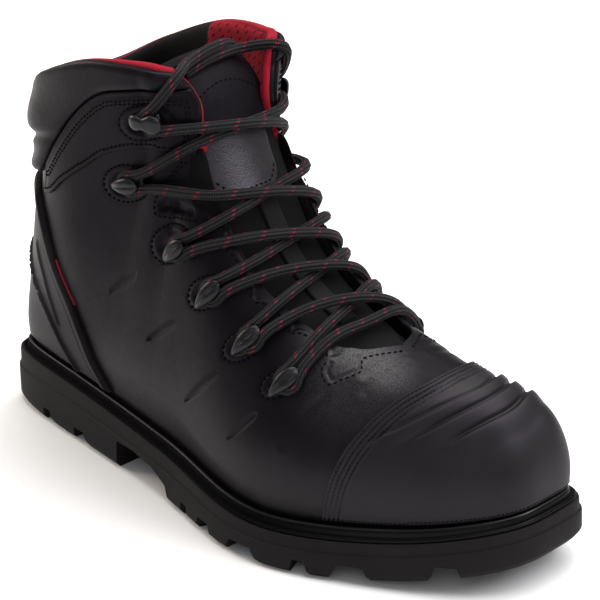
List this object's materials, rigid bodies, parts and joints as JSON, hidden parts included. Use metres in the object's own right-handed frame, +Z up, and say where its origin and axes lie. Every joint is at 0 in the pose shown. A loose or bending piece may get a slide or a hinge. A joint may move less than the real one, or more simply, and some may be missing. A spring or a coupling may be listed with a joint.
{
  "type": "composite toe work boot",
  "caption": "Ankle-high lace-up work boot for the right foot, with a moulded toe cap, padded collar, lace hooks, stitched welt and a lugged sole with a heel.",
  "frame": {"origin": "middle of the sole's footprint, on the floor", "axes": "+X from the heel to the toe, +Y to the medial (inner) side, +Z up"},
  "size_m": [0.312, 0.116, 0.1982],
  "materials": {
    "leather": "black satin full-grain leather",
    "soft_leather": "black padded leather, semi-gloss",
    "toe_cap": "matte black moulded cover",
    "outsole_rubber": "matt brownish charcoal rubber",
    "welt_rubber": "black rubber with a glossy bead",
    "footbed": "black knit over foam",
    "tongue_fabric": "black woven textile",
    "webbing": "dark grey ribbed webbing",
    "lining": "red open mesh",
    "thread": "black waxed thread",
    "hardware": "dark grey satin",
    "lace": "black round woven lace with red flecks"
  },
  "bodies": {
    "root": {"ankle_panel_lateral": "leather", "ankle_panel_medial": "leather", "collar_cuff": "soft_leather", "heel_counter": "leather", "hook_lateral_1": "hardware", "hook_lateral_2": "hardware", "hook_lateral_3": "hardware", "hook_lateral_4": "hardware", "hook_lateral_5": "hardware", "hook_lateral_6": "hardware", "hook_medial_1": "hardware", "hook_medial_2": "hardware", "hook_medial_3": "hardware", "hook_medial_4": "hardware", "hook_medial_5": "hardware", "hook_medial_6": "hardware", "insole": "footbed", "lace_bar_1": "lace", "lace_bar_2": "lace", "lace_crossing_1": "lace", "lace_crossing_2": "lace", "lace_crossing_3": "lace", "lace_crossing_4": "lace", "lace_crossing_5": "lace", "outsole": "outsole_rubber", "toe_cap": "toe_cap", "tongue": "tongue_fabric", "tongue_flap": "soft_leather", "tongue_webbing": "webbing", "upper": "leather", "welt": "welt_rubber"}
  },
  "joints": []
}
